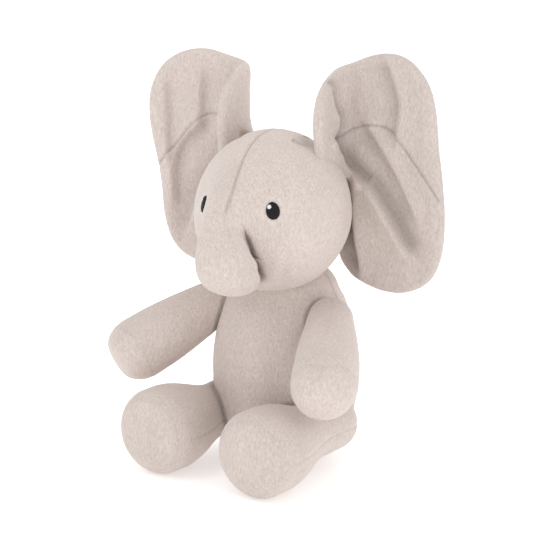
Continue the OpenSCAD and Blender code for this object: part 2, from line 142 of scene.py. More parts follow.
def noise(p, cell, seed):
    """Smooth value noise from -1 to 1 over points in mm."""
    q = p / np.array(cell, float)
    base = np.floor(q).astype(np.int64)
    t = q - base
    t = t * t * (3 - 2 * t)
    total = np.zeros(len(p))
    for corner in range(8):
        off = np.array([corner & 1, corner >> 1 & 1, corner >> 2 & 1])
        c = base + off
        h = (c[:, 0] * 73856093 ^ c[:, 1] * 19349663 ^ c[:, 2] * 83492791 ^ seed * 26544357) & 0xFFFFFFFF
        h = (h ^ h >> 15) * 2246822519 & 0xFFFFFFFF
        h = (h ^ h >> 13) * 3266489917 & 0xFFFFFFFF
        h ^= h >> 16
        w = np.prod(np.where(off == 1, t, 1 - t), axis=1)
        total += w * (h / 0xFFFFFFFF * 2 - 1)
    return total


def smooth(x, a, b):
    """A soft step from 0 at a to 1 at b; it falls where a is the larger."""
    t = np.clip((x - a) / (b - a), 0, 1)
    return t * t * (3 - 2 * t)


def bell(x, width):
    """1 at 0, falling off to both sides within about width."""
    return np.exp(-(x / width) ** 2)


def seam_shape(distance, depth, width, crown, crown_width):
    """Height across a seam: a narrow groove in a wide soft crown."""
    return crown * bell(distance, crown_width) - depth * bell(distance, width)


def distance_along(points):
    """How far along a polyline each of its points lies."""
    return np.concatenate([[0], np.cumsum(np.linalg.norm(np.diff(points, axis=0), axis=1))])


def interpolate(at, along, table):
    """The rows of a table that is given along a line, at some places on the line."""
    return np.stack([np.interp(at, along, column) for column in np.transpose(table)], axis=1)


def spline(points, count):
    """A smooth curve through points (any number of columns), resampled evenly."""
    pts = np.array(points, float)
    ext = np.vstack([2 * pts[0] - pts[1], pts, 2 * pts[-1] - pts[-2]])
    out = []
    for i in range(1, len(ext) - 2):
        p0, p1, p2, p3 = ext[i - 1:i + 3]
        for t in np.linspace(0, 1, SPLINE_STEPS, endpoint=False):
            out.append(0.5 * (2 * p1 + (p2 - p0) * t + (2 * p0 - 5 * p1 + 4 * p2 - p3) * t ** 2
                              + (3 * p1 - p0 - 3 * p2 + p3) * t ** 3))
    out = np.array(out + [pts[-1]])
    along = distance_along(out[:, :2])
    return interpolate(np.linspace(0, along[-1], count), along, out)


def line_distance(q, curve):
    """Distance in the plane from points q to a polyline."""
    best = np.full(len(q), FAR)
    for a, b in zip(curve[:-1], curve[1:]):
        d = b - a
        t = np.clip(((q - a) @ d) / max(d @ d, 1e-12), 0, 1)
        best = np.minimum(best, np.linalg.norm(q - a - t[:, None] * d, axis=1))
    return best


def fold(q, points, rise, depth, ridge, hollow, edge=1.6):
    """A fold of the cloth along a line: a hollow to the left of the line's direction and a ridge
    to its right. Returns the shift towards the cloth's back and how deep in the hollow q lies."""
    curve = spline(points, 30)
    best, across = np.full(len(q), FAR), np.zeros(len(q))
    for a, b in zip(curve[:-1], curve[1:]):
        d = b - a
        t = np.clip(((q - a) @ d) / (d @ d), 0, 1)
        off = q - a - t[:, None] * d
        dist = np.linalg.norm(off, axis=1)
        perp = (d[0] * off[:, 1] - d[1] * off[:, 0]) / np.linalg.norm(d)
        across = np.where(dist < best, perp, across)
        best = np.minimum(best, dist)
    inside = 0.5 + 0.5 * np.tanh(across / edge)
    low = bell(best, hollow) * inside
    return depth * low - rise * bell(best, ridge) * (1 - inside), low


# ---------------------------------------------------------------- measures of the frame

# The head looks a little to its left: head, trunk, ears and eyes are shaped straight ahead and
# then turned about the neck's upright axis, as the joints' axes are.
LIFT_AXIS = JOINT["trunk_lift"]["axis"]
HEAD_TURN = math.atan2(-LIFT_AXIS[1], -LIFT_AXIS[0])


def turned(p, angle=HEAD_TURN):
    """Points turned about the neck's upright axis."""
    p = np.array(p, float)
    c, s = math.cos(angle), math.sin(angle)
    return np.stack([p[..., 0] * c - p[..., 1] * s, p[..., 0] * s + p[..., 1] * c, p[..., 2]], axis=-1)


HEAD_RADII = np.array([56.0, 59.0, 59.0])
head_lo, head_hi = box("head_left", "head_right")
half_y = math.hypot(HEAD_RADII[0] * math.sin(HEAD_TURN), HEAD_RADII[1] * math.cos(HEAD_TURN))
HEAD = turned([(head_lo[0] + head_hi[0]) / 2, head_hi[1] - half_y, head_hi[2] - HEAD_RADII[2]], -HEAD_TURN)
TRUNK = turned(joint_at("trunk_lift"), -HEAD_TURN)
BODY_R = box("body_front")[1][0]
BELLY_Z = 66.0
SEAT_R = box("body_base")[1][0]
SHOULDER = joint_at("arm_left_raise")
HIP = joint_at("leg_left_raise")
TAIL = joint_at("tail_raise")
SOLE_Y = box("leg_left_sole")[0][1]
FOOT_R = HIP[2]

ARM_AXIS = JOINT["arm_left_raise"]["axis"]
ARM_DROP = math.radians(25.5)
ARM_SPLAY = math.atan2(-ARM_AXIS[1], -ARM_AXIS[0])
ARM_DIR = np.array([math.sin(ARM_SPLAY) * math.cos(ARM_DROP), -math.cos(ARM_SPLAY) * math.cos(ARM_DROP),
                    -math.sin(ARM_DROP)])
ARM_ROOT_R, PAW_R = 16.5, 23.5
# The sleeve is full width this far from the shoulder
ARM_FULL_AT = 64
ARM_LEN = (SHOULDER[2] - box("arm_left_paw")[0][2] - PAW_R) / math.sin(ARM_DROP) + PAW_R


def unit(v):
    """A direction of length 1."""
    return np.array(v, float) / np.linalg.norm(v)


# ---------------------------------------------------------------- distances to the parts

def ball_gap(q, radii):
    """About how far q is outside a stretched ball round the origin."""
    k0 = np.linalg.norm(q / radii, axis=1)
    k1 = np.linalg.norm(q / radii ** 2, axis=1)
    return k0 * (k0 - 1) / np.maximum(k1, 1e-9)


# The full cheeks: middle of the left one from the head's middle, how much taller than wide they
# are, how far they stand proud and how wide they are
CHEEK, CHEEK_STRETCH = np.array([36, -40, -20]), [1, 1, 1.2]
CHEEK_RISE, CHEEK_R = 2.2, 22


def head_gap(p):
    """About how far p is outside the head with its full cheeks."""
    q = p - HEAD
    gap = ball_gap(q, HEAD_RADII)
    for side in (1, -1):
        from_cheek = np.linalg.norm((q - CHEEK * [side, 1, 1]) / CHEEK_STRETCH, axis=1)
        gap = gap - CHEEK_RISE * bell(from_cheek, CHEEK_R)
    return gap


# Down the trunk: how far forward, height, half its depth, half its width, how far to the left.
# It hangs a little to the elephant's right.
TRUNK_LINE = spline([
    [-52, 206, 10, 6, -10], [-59, 202, 14, 8, -11], [-66, 196.5, 16.5, 9.5, -11.5],
    [-73, 190, 17.5, 11.5, -11], [-79, 182.5, 17.5, 14.5, -9.5], [-84, 174.5, 17.5, 18, -7],
    [-87, 167, 17.5, 21, -4.5], [-87, 160, 17.3, 22.5, -3], [-84.5, 154, 16.2, 22.5, -3],
    [-79, 150, 14, 21.5, -3], [-72.5, 148, 11.5, 19, -3], [-66, 147, 9, 14.5, -3]], 90)
trunk_along = np.gradient(TRUNK_LINE[:, :2], axis=0)
trunk_along /= np.linalg.norm(trunk_along, axis=1, keepdims=True)


def trunk_gap(p):
    """About how far p is outside the trunk."""
    step = ((p[:, None, 1:] - TRUNK_LINE[None, :, :2]) ** 2).sum(axis=2)
    near = step.argmin(axis=1)
    off = p[:, 1:] - TRUNK_LINE[near, :2]
    ahead = trunk_along[near]
    out = off[:, 0] * ahead[:, 1] - off[:, 1] * ahead[:, 0]
    past = abs((off * ahead).sum(axis=1))
    q = np.stack([p[:, 0] - TRUNK_LINE[near, 4], out, past], axis=1)
    return ball_gap(q, TRUNK_LINE[near][:, [3, 2, 2]])


# Balls in the row that stands for a limb
BEADS = 24


def bead_gap(p, start, direction, radii):
    """How far p is outside a row of balls along a line: radii is a list of (distance, radius)."""
    best = np.full(len(p), FAR)
    for s, r in radii:
        best = np.minimum(best, np.linalg.norm(p - start - direction * s, axis=1) - r)
    return best


def arm_gap(p, side):
    """How far p is outside an arm."""
    d = ARM_DIR * [side, 1, 1]
    radii = [(s, ARM_ROOT_R + (PAW_R - ARM_ROOT_R) * smooth(s, 0, ARM_FULL_AT))
             for s in np.linspace(0, ARM_LEN - PAW_R, BEADS)]
    return bead_gap(p, SHOULDER * [side, 1, 1], d, radii)


# The leg's round end in the body: its radius and how far it lies ahead of the hip
LEG_ROOT_R, LEG_ROOT_AT = 20.0, 1.0
# The last ball of the row that stands for the leg
LEG_BEADS_END = 74


def leg_radius(s):
    """Radius of the leg at a distance from the hip; it widens to the foot."""
    return LEG_ROOT_R + (FOOT_R - LEG_ROOT_R) * smooth(s, 26, 80)


LEG_BEADS = [(s, leg_radius(s)) for s in np.linspace(LEG_ROOT_AT, LEG_BEADS_END, BEADS)]


def leg_gap(p, side):
    """How far p is outside a leg."""
    return bead_gap(p, HIP * [side, 1, 1], np.array([0, -1, 0.0]), LEG_BEADS)


# Above the belly the body's wall narrows to the first radius over the second rise
SHOULDER_R, SHOULDER_RISE = 40, 64
# The seat's rim stands this much proud of the seat panel
SEAT_RIM = 0.6


def torso_radius(z):
    """The body's radius at a height: widest at the belly, narrower to the seat and the shoulders."""
    foot = SEAT_R + SEAT_RIM
    low = foot + (BODY_R - foot) * np.sqrt(np.clip(1 - ((BELLY_Z - z) / BELLY_Z) ** 2, 0, 1))
    turn = np.radians(np.clip(90 * (z - BELLY_Z) / SHOULDER_RISE, 0, 130))
    high = SHOULDER_R + (BODY_R - SHOULDER_R) * np.cos(turn)
    return np.where(z < BELLY_Z, low, high)


def torso_gap(p):
    """About how far p is outside the body; its wall leans a little, so less than the radii differ."""
    return (np.hypot(p[:, 0], p[:, 1]) - torso_radius(p[:, 2])) * 0.96


def face_gap(p):
    """How far p is outside the head and trunk together. High up the two flow into each other;
    low down the trunk only touches the head."""
    a, b = head_gap(p), trunk_gap(p)
    reach = 3 + 17 * smooth(p[:, 2], 176, 196)
    h = np.clip(1 - abs(a - b) / reach, 0, 1)
    return np.minimum(a, b) - reach / 4 * h * h


def past_trunk_pivot(p):
    """How far p is beyond the trunk's pivot, forward and down; the trunk bends from there on."""
    return (TRUNK[1] + TRUNK[2] - p[:, 1] - p[:, 2]) / math.sqrt(2)


def uphill(gap, p):
    """Direction and steepness in which a distance grows."""
    return np.stack([(gap(p + e) - gap(p - e)) / 0.6 for e in np.eye(3) * 0.3], axis=1)


def fillet(gap, reach):
    """How far a surface swells beside another that is gap away."""
    return reach / 4 * np.clip(1 - abs(gap) / reach, 0, 1) ** 2


# ---------------------------------------------------------------- objects

def make_object(name, points, quads, material, body, replaces=(), painted_shading=None):
    mesh = bpy.data.meshes.new(name)
    mesh.from_pydata((points * MM).tolist(), [], quads.tolist())
    mesh.validate()
    mesh.materials.append(material)
    # Painted shading of each point: painted shade where it lies deep in a seam or fold, a painted highlight
    # where the value is below zero; the material darkens or lightens its colour by it
    painted_shading_layer = mesh.attributes.new("painted_shading", "FLOAT", "POINT")
    painted_shading_layer.data.foreach_set("value", np.clip(np.zeros(len(points)) if painted_shading is None else painted_shading, -0.3, 1))
    mesh.polygons.foreach_set("use_smooth", [True] * len(mesh.polygons))
    obj = bpy.data.objects.new(name, mesh)
    bpy.context.scene.collection.objects.link(obj)
    if body:
        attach(obj, body)
    if replaces:
        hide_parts(*replaces)
    return obj


def nap(points, quads, seed, amount=1.0, still=None):
    """The pile's surface: soft lumps of the filling and short tufts that lie downwards."""
    n = normals(points, quads)
    lumps = 0.5 * noise(points, 30, seed) + 0.22 * noise(points, 13, seed + 1)
    tufts = 0.07 * noise(points, (1.7, 1.7, 3.2), seed + 2) + 0.06 * noise(points, (1.1, 1.1, 1.9), seed + 3)
    rise = (lumps + tufts) * amount
    if still is not None:
        rise = rise * (1 - still)
    return points + n * rise[:, None]


# ---------------------------------------------------------------- materials

# The pile: its colour, the darkest and lightest speckle as shares of it, how far the speckle is drawn out
# downwards, the share of the finest speckle, and how much darker the painted shade makes the bottom of a seam
# or fold
PILE_COLOR = (0.664, 0.583, 0.543)
PILE_DARK, PILE_LIGHT = (0.78, 0.755, 0.73), (1.12, 1.13, 1.14)
PILE_STRETCH = 0.4
GRAIN_SHARE = 0.35
PAINTED_SHADE_STRENGTH = 0.5


def add_node(tree, kind, values=(), **settings):
    """A new shader node: settings are its own choices, values go to its inputs."""
    made = tree.nodes.new("ShaderNode" + kind)
    for key, value in settings.items():
        setattr(made, key, value)
    for key, value in dict(values).items():
        made.inputs[key].default_value = value
    return made


def plush_material(name):
    """Short pile: two sizes of speckle stretched downwards, with painted shade in seams and folds and a
    painted highlight where the painted shading is below zero.
    """
    mat = bpy.data.materials.new(name)
    mat.use_nodes = True
    nt = mat.node_tree
    nt.nodes.clear()

    link = nt.links.new
    node = partial(add_node, nt)
    out, bsdf, coords = node("OutputMaterial"), node("BsdfPrincipled"), node("TexCoord")
    stretch = node("Mapping", {"Scale": (1.0, 1.0, PILE_STRETCH)})
    link(coords.outputs["Object"], stretch.inputs["Vector"])

    def cloud(scale, detail, rough):
        made = node("TexNoise", {"Scale": scale, "Detail": detail, "Roughness": rough})
        link(stretch.outputs["Vector"], made.inputs["Vector"])
        return made.outputs["Fac"]

    mottle, grain, patch = cloud(800, 5, 0.75), cloud(2600, 3, 0.7), cloud(45, 2, 0.5)
    # The speckle between the pile's darker and lighter colour
    ramp = node("ValToRGB")
    base = np.array(PILE_COLOR)
    colors = base * PILE_DARK, base * PILE_LIGHT
    for stop, place, color in zip(ramp.color_ramp.elements, (0.36, 0.62), colors):
        stop.position = place
        stop.color = (*color, 1)
    mix = node("Math", {1: GRAIN_SHARE}, operation="MULTIPLY_ADD")
    link(grain, mix.inputs[0])
    part = node("Math", {1: 1 - GRAIN_SHARE}, operation="MULTIPLY")
    link(mottle, part.inputs[0])
    link(part.outputs[0], mix.inputs[2])
    link(mix.outputs[0], ramp.inputs["Fac"])
    # Large soft patches, and painted shade where a point lies deep in a seam or fold (a painted highlight
    # where the value is below zero)
    shade = node("MapRange", {"From Min": 0.3, "From Max": 0.7, "To Min": 0.97, "To Max": 1.03})
    link(patch, shade.inputs["Value"])
    tint = node("VectorMath", operation="SCALE")
    link(ramp.outputs["Color"], tint.inputs[0])
    # The painted shade and highlight of each point
    painted_shading = node("Attribute", attribute_name="painted_shading")
    darker = node("Math", {1: -PAINTED_SHADE_STRENGTH, 2: 1.0}, operation="MULTIPLY_ADD")
    link(painted_shading.outputs["Fac"], darker.inputs[0])
    both = node("Math", operation="MULTIPLY")
    link(shade.outputs["Result"], both.inputs[0])
    link(darker.outputs[0], both.inputs[1])
    link(both.outputs[0], tint.inputs["Scale"])
    link(tint.outputs["Vector"], bsdf.inputs["Base Color"])
    bsdf.inputs["Roughness"].default_value = 1.0
    bsdf.inputs["Specular IOR Level"].default_value = 0.1
    bsdf.inputs["Sheen Weight"].default_value = 0.5
    bsdf.inputs["Sheen Roughness"].default_value = 0.45
    bsdf.inputs["Sheen Tint"].default_value = (1.0, 0.95, 0.92, 1)
    bump = node("Bump", {"Strength": 0.55, "Distance": 0.0008})
    link(mix.outputs[0], bump.inputs["Height"])
    link(bump.outputs["Normal"], bsdf.inputs["Normal"])
    link(bsdf.outputs["BSDF"], out.inputs["Surface"])
    return mat


def thread_material(name, color, rough, coat):
    """Embroidery thread, a little uneven in colour."""
    mat = bpy.data.materials.new(name)
    mat.use_nodes = True
    nt = mat.node_tree
    bsdf = nt.nodes["Principled BSDF"]
    link = nt.links.new
    node = partial(add_node, nt)
    coords = node("TexCoord")
    wave = node("TexNoise", {"Scale": 2400})
    link(coords.outputs["Object"], wave.inputs["Vector"])
    ramp = node("ValToRGB")
    ramp.color_ramp.elements[0].color = (*[c * 0.6 for c in color], 1)
    ramp.color_ramp.elements[1].color = (*[min(1, c * 1.5) for c in color], 1)
    link(wave.outputs["Fac"], ramp.inputs["Fac"])
    link(ramp.outputs["Color"], bsdf.inputs["Base Color"])
    bsdf.inputs["Roughness"].default_value = rough
    bsdf.inputs["Specular IOR Level"].default_value = 0.2
    bsdf.inputs["Coat Weight"].default_value = coat
    bsdf.inputs["Coat Roughness"].default_value = 0.25
    bump = node("Bump", {"Strength": 0.4, "Distance": 0.0002})
    link(wave.outputs["Fac"], bump.inputs["Height"])
    link(bump.outputs["Normal"], bsdf.inputs["Normal"])
    return mat


PLUSH = plush_material("plush")
BLACK = thread_material("black_thread", (0.008, 0.008, 0.010), 0.6, 0.06)
WHITE = thread_material("white_thread", (0.8, 0.8, 0.8), 0.5, 0.0)


# ---------------------------------------------------------------- torso

def turned_points(profile, place, turn):
    """Points of a surface turned about Z: profile rows are (radius, height)."""
    along = distance_along(profile)
    r, z = interpolate(place * along[-1], along, profile).T
    return np.stack([r * np.cos(turn), r * np.sin(turn), z], axis=1)


# Height at which the body's wall goes over into the neck, and the neck's (radius, height) above it
WALL_TOP = 118
NECK_SLOPE = [[40, 126], [36.5, 134], [30, 141], [18, 146], [0, 148]]
# Where a limb is sewn on, a fold runs round it this far outside it; half the fold's width
ROOT_FOLD_AT = 0.5
ARM_FOLD, LEG_FOLD = 2.2, 2.4
# The side seams run this many degrees behind the body's widest line
SIDE_SEAM_TURN = 10


def torso():
    place, turn, quads = pillow_grid(110, 150)
    z = np.linspace(0, WALL_TOP, 90)
    wall = np.stack([torso_radius(z), z], axis=1)
    neck = spline([wall[-1]] + NECK_SLOPE, 40)
    profile = np.vstack([[[0, 0.5], [20, 0.4]], wall, neck[1:]])
    p = turned_points(profile, place, turn)
    quads = outward(p, quads)
    p = relax(p, quads, 6)
    n = normals(p, quads)
    swell, painted_shading = np.zeros(len(p)), np.zeros(len(p))
    # The body swells round the limbs, with a fold right beside each
    for side in (1, -1):
        arm_near, leg_near = arm_gap(p, side), leg_gap(p, side)
        arm_fold = bell(arm_near - ROOT_FOLD_AT, ARM_FOLD)
        leg_fold = bell(leg_near - ROOT_FOLD_AT, LEG_FOLD)
        swell += fillet(arm_near, 7) - 1.6 * arm_fold + fillet(leg_near, 8) - 2.0 * leg_fold
        # Painted shade in the fold beside each limb
        painted_shading += 0.6 * (arm_fold + leg_fold)
    side_seam = np.degrees(np.arctan2(p[:, 1], abs(p[:, 0]))) - SIDE_SEAM_TURN
    side_line = bell(side_seam * 0.9, 1.3) * smooth(p[:, 2], 20, 40)
    back_line = bell(np.where(p[:, 1] > 0, abs(p[:, 0]), FAR), 1.2)
    swell -= 0.8 * (side_line + back_line)
    # Painted shade along the side and back seams
    painted_shading += 0.35 * (side_line + back_line)
    p = p + n * swell[:, None]
    p = nap(p, quads, 11)
    # The seat is flat where it rests on the floor
    p[:, 2] = np.maximum(p[:, 2], 0.3)
    body = make_object("torso_skin", p, quads, PLUSH, "body",
                       ("body_front", "body_back_left", "body_back_right", "body_base", "body_stuffing",
                        "pellet_pouch", "pellets", "neck_stuffing"), painted_shading)


# ---------------------------------------------------------------- head and trunk

# What lies ahead of here belongs to the face
FACE_FROM_Y = -20
# The crease beside the chin, the neck's radius, and the height that the chin's underside stays below
CHIN, NECK_R, CHIN_TOP = np.array([27, -48, 150]), 30, 160
# Head and trunk have one surface where they meet, so they share the seed and the height of their nap
FACE_NAP, FACE_LUMPS = 31, 0.9

eye_lo, eye_hi = box("eye_left")
EYE = turned((eye_lo + eye_hi) / 2, -HEAD_TURN) - HEAD
EYE[1] = -HEAD_RADII[1] * math.sqrt(1 - (EYE[0] / HEAD_RADII[0]) ** 2 - (EYE[2] / HEAD_RADII[2]) ** 2)
# Degrees that the top of an eye leans to the middle of the face
EYE_LEAN = 8.0


def eye_place(side):
    """Where an eye is on the plain ball of the head, unturned."""
    return HEAD + EYE * [side, 1, 1]


def top_share(p):
    """1 where the trunk flows out of the forehead and 0 where it only hangs before the head."""
    return smooth(p[:, 2], 176, 190)


# The seam wanders this far to the elephant's right on its way down the forehead
SEAM_DRIFT = 3


def middle_seam(p):
    """Distance from the seam up the middle of the face, over the top and down to the nape."""
    return abs(p[:, 0] + SEAM_DRIFT * smooth(p[:, 1], 0, -55) + 0.5 * np.sin(p[:, 2] / 9))


# The line along which an ear is sewn on, seen from the side: how far back, height
EAR_ROOT = np.array([[-24, 244], [-6, 245], [6, 238], [14, 222], [18, 205], [20, 190]], float)


def ear_root_gap(p, side):
    """Distance from where an ear is sewn to the head."""
    return line_distance(p[:, 1:], EAR_ROOT) + np.where(p[:, 0] * side > 20, 0, FAR)


def chin_pucker(p, side):
    """A crease beside the chin, with a low swelling behind it."""
    q = p - CHIN * [side, 1, 1]
    across = q[:, 0] * side - 0.4 * q[:, 2]
    shown = p[:, 1] < FACE_FROM_Y
    crease = 1.3 * bell(across, 2.6) * bell(q[:, 2], 11)
    swelling = 0.6 * bell(across - 6, 4) * bell(q[:, 2], 12)
    return (swelling - crease) * shown


def head():
    place, turn, quads = pillow_grid(128, 128)
    polar = place * math.pi
    d = np.stack([np.cos(polar), np.sin(polar) * np.cos(turn), np.sin(polar) * np.sin(turn)], axis=1)
    p = HEAD + d * HEAD_RADII
    quads = outward(p, quads)
    n = normals(p, quads)
    ball = p.copy()
    # The head's skin makes the trunk's root; beyond the pivot it keeps its own shape
    for _ in range(16):
        beyond = smooth(past_trunk_pivot(p), 5, 15)
        gap = face_gap(p) * (1 - beyond) + head_gap(p) * beyond
        p = ball + n * np.clip(((p - ball) * n).sum(axis=1) - 0.75 * gap, -2, 24)[:, None]
    n = normals(p, quads)
    # The fold between the trunk and the face
    gap = trunk_gap(p)
    low = (1 - top_share(p)) * (p[:, 1] < FACE_FROM_Y)
    swell = -3.0 * bell(gap - 1.0, 3.4) * low
    # Painted shade in the fold between the trunk and the face
    painted_shading = 1.0 * bell(gap - 0.5, 3.0) * low
    # One seam up the middle of the face, over the top and down to the nape
    seam = middle_seam(p)
    swell += -1.1 * bell(seam, 0.9) + 0.4 * bell(seam - 3, 3)
    # Painted shade along the middle seam
    painted_shading += 0.4 * bell(seam, 0.9)
    for side in (1, -1):
        swell += chin_pucker(p, side)
        root = ear_root_gap(p, side)
        swell -= 1.1 * bell(root - 5, 3.2)
        # Painted shade where each ear is sewn to the head
        painted_shading += 0.45 * bell(root - 5, 2.6)
    # Shallow hollows where the eyes are stitched, with a painted highlight as a paler rim where the pile
    # stands up
    still = np.zeros(len(p))
    for side in (1, -1):
        from_eye = np.linalg.norm(p - eye_place(side), axis=1)
        swell -= 0.9 * bell(from_eye, 6.5)
        # Painted highlight: a lighter rim round the eye
        painted_shading -= 0.16 * bell(from_eye - 7, 2.5)
        still += bell(from_eye, 9)
    # The crease round the neck
    from_neck = np.hypot(p[:, 0], p[:, 1]) - NECK_R
    swell -= 1.5 * bell(from_neck, 7) * (p[:, 2] < CHIN_TOP)
    p = p + n * swell[:, None]
    p = nap(p, quads, FACE_NAP, FACE_LUMPS, still)
    made = make_object("head_skin", turned(p), quads, PLUSH, "head",
                       ("head_left", "head_right", "head_stuffing"), painted_shading)


# The trunk's two ends are this long past the line and round
TRUNK_END = 9.0
# Its front seams, in degrees from the front: at the root, further down, and where between they spread
FRONT_SEAM, SEAM_SPREAD, SPREAD_AT = 24, 26, (24, 56)
# The seams of the panel underneath
UNDER_SEAM = 130


def trunk():
    place, turn, quads = pillow_grid(44, 150)
    along = distance_along(TRUNK_LINE[:, :2])
    total = along[-1]
    s = place * (total + 2 * TRUNK_END) - TRUNK_END
    # Rounded ends: the ring shrinks to nothing over the root and the tip
    inner = np.clip(s, 0, total)
    over = s - inner
    share = np.sqrt(np.clip(1 - (over / TRUNK_END) ** 2, 0, 1))
    ahead_y, ahead_z = interpolate(inner, along, trunk_along).T
    y, z, depth, width, x = interpolate(inner, along, TRUNK_LINE).T
    y = y + over * ahead_y + ahead_z * depth * share * np.cos(turn)
    z = z + over * ahead_z - ahead_y * depth * share * np.cos(turn)
    p = np.stack([x + width * share * np.sin(turn), y, z], axis=1)
    p = relax(p, quads, 10)
    # Bring the tube to the surface that head and trunk have together, a little under it at the root
    inside = head_gap(p)
    for _ in range(8):
        sink = 0.1 + 2.5 * smooth(past_trunk_pivot(p), 9, -4)
        gap = (face_gap(p) + sink) * smooth(inside, -16, -9)
        rise = uphill(face_gap, p)
        p = p - rise * (0.7 * gap / np.maximum((rise ** 2).sum(axis=1), 0.3))[:, None]
    p = relax(p, quads, 3)
    quads = outward(p, quads)
    n = normals(p, quads)
    swell = np.zeros(len(p))
    # Painted shade where the trunk lies against the head
    painted_shading = 0.7 * bell(head_gap(p) - 0.5, 2.6) * (1 - top_share(p))
    # The front panel's two seams run together towards the seam of the forehead
    angle = np.degrees(np.arctan2(np.sin(turn), np.cos(turn)))
    front_seam = FRONT_SEAM + SEAM_SPREAD * smooth(inner, *SPREAD_AT)
    for seam, shown in ((front_seam, smooth(inner, 22, 34)), (UNDER_SEAM, smooth(inner, 34, 46))):
        off = (abs(angle) - seam) * 0.33
        swell += seam_shape(off, 0.4, 1.0, 0.35, 4.5) * shown
        # Painted shade along the seams
        painted_shading += 0.12 * bell(off, 1.0) * shown
    p = p + n * swell[:, None]
    p = nap(p, quads, FACE_NAP, FACE_LUMPS)
    made = make_object("trunk_skin", turned(p), quads, PLUSH, None,
                       ("trunk_top", "trunk_left", "trunk_right", "trunk_under", "trunk_stuffing"), painted_shading)
    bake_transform(made)


# ---------------------------------------------------------------- ears

# Where the ear's sheet leaves the head (to the left, back), the radius of its bend forward there,
# how far its outer edge is swept forward and how far out that edge is
BEND_X, BEND_Y, BEND_R, SWEEP, SPAN = 48.0, 16.0, 10.0, 6.0, 73.0
# Half the ear's thickness
EAR_HALF = 4.4
# The front of the sheet is pressed in no deeper than this within the bend, so that it doesn't cross itself
BEND_DEPTH = 6.0
EAR_CELLS, EDGE_CELLS = 180, 10

# Outline of each ear laid flat: distance across the sheet and height. The left one droops and
# hangs wider, the right one stands further out at its top.
EAR_OUTLINE = {1: [
    [-50, 240], [-51, 252], [-49, 264], [-42, 276], [-26, 286], [-4, 293], [12, 299], [27, 301.5], [40, 299],
    [50, 292], [59, 280], [64.5, 262], [67.5, 236], [71, 210], [73, 188], [72, 166], [67, 148], [60, 138],
    [51, 132], [41, 128.5], [31, 127.5], [20, 128.5], [8, 132], [-4, 138], [-14, 147], [-18, 162], [-14, 180],
    [-10, 192], [-14, 199], [-22, 206], [-37, 212], [-48, 220], [-50, 240]], -1: [
    [-51, 240], [-52, 254], [-49, 267], [-40, 277], [-25, 285], [-4, 291], [12, 295.5], [25, 298], [41, 296],
    [54, 290], [64.5, 280], [71, 266], [72.5, 250], [70.5, 232], [65, 208], [62.5, 190], [61, 172], [56, 154],
    [48, 143], [39, 137.5], [29, 135], [18, 135.5], [8, 138], [-3, 143], [-11, 151], [-15, 164], [-12, 180],
    [-9, 192], [-14, 199], [-22, 206], [-37, 212], [-48, 220], [-51, 240]]}
EAR_CENTRE = np.array([24.0, 222.0])
# The curved seam between the upper and lower front panel
EAR_SEAM = spline([[-22, 234], [-14, 239], [-5, 244], [6, 248], [13, 249.5], [23, 249], [31, 244.5],
                   [40, 235.5], [49, 225], [57, 216], [64, 207], [69, 200]], 60)
# Painted shade over the front of the left ear, which is turned away from the light; the right ear has none
EAR_PAINTED_SHADE = {1: 0.14, -1: 0.0}

# Folds of each ear: the line, the ridge's rise, the hollow's depth, their widths, the painted shade in the
# hollow
EAR_FOLDS = {1: [
    ([[-20, 232], [-5, 217], [14, 205], [24, 193], [33, 180], [43, 166]], 7.5, 7.5, 11, 9, 0.5),
    ([[-36, 282], [-25, 265], [-17, 254], [-19, 244], [-22, 236]], 2.0, 4.0, 9, 6, 0.7),
    ([[6, 138], [2, 158], [-1, 178], [-3, 199]], 2.5, 6.0, 9, 12, 0.7),
    ([[34, 248], [35, 268], [28, 290]], 2.0, 4.5, 9, 11, 0.3),
    ([[45, 194], [38, 207], [28, 224], [14, 243]], 3.0, 5.0, 9, 11, 0.35),
], -1: [
    ([[-50, 236], [-40, 262], [-28, 284]], 1.5, 3.0, 8, 9, 0.2),
    ([[50, 186], [50, 208], [44, 226], [30, 240]], 2.0, 3.5, 8, 9, 0.25),
    ([[54, 218], [56, 264]], 1.5, 2.5, 8, 9, 0.15),
    ([[28, 248], [27, 272]], 1.5, 3.0, 8, 10, 0.15),
    ([[-20, 236], [10, 214], [30, 190], [38, 168]], 3.0, 4.0, 10, 10, 0.25),
]}


def ear_place(a, n, z):
    """Where a point of the sheet is: a is its distance outwards along the sheet, n its offset to the
    back and z its height. Towards the head the sheet bends forward, except the low lobe behind it."""
    turn = np.clip(-a / BEND_R, 0, math.pi / 2)
    ahead = np.maximum(-a - BEND_R * math.pi / 2, 0)
    r = BEND_R + n
    x = np.where(a >= 0, BEND_X + a, BEND_X - r * np.sin(turn))
    y = np.where(a >= 0, BEND_Y - SWEEP * a / SPAN + n, BEND_Y - BEND_R + r * np.cos(turn) - ahead)
    flat = smooth(z, 212, 196) * (a < 0)
    x = x + (BEND_X + a - x) * flat
    y = y + (BEND_Y - 0.6 * a + n - y) * flat
    return np.stack([x, y, z], axis=1)


